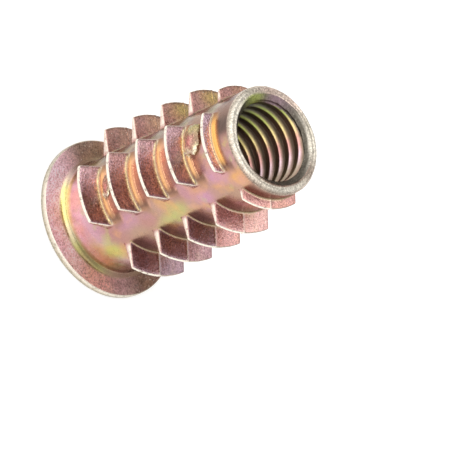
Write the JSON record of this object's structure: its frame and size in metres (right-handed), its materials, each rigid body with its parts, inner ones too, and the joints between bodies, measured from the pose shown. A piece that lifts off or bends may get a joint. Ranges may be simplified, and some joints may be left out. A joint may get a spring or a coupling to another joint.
{
  "type": "threaded wood insert",
  "caption": "Flanged metal bush with rows of helical screw teeth outside, a machine-threaded bore inside and a hexagon drive socket.",
  "frame": {"origin": "centre of the flange's flat outer face", "axes": "+Z along the axis from the flange to the tip; +X through the last tooth, on the cast parting line"},
  "size_m": [0.0136, 0.0134, 0.0222],
  "materials": {
    "passivated_zinc": "zinc die casting with an iridescent yellow passivate, satin, brighter on worn edges"
  },
  "bodies": {
    "root": {"insert_body": "passivated_zinc"}
  },
  "joints": []
}
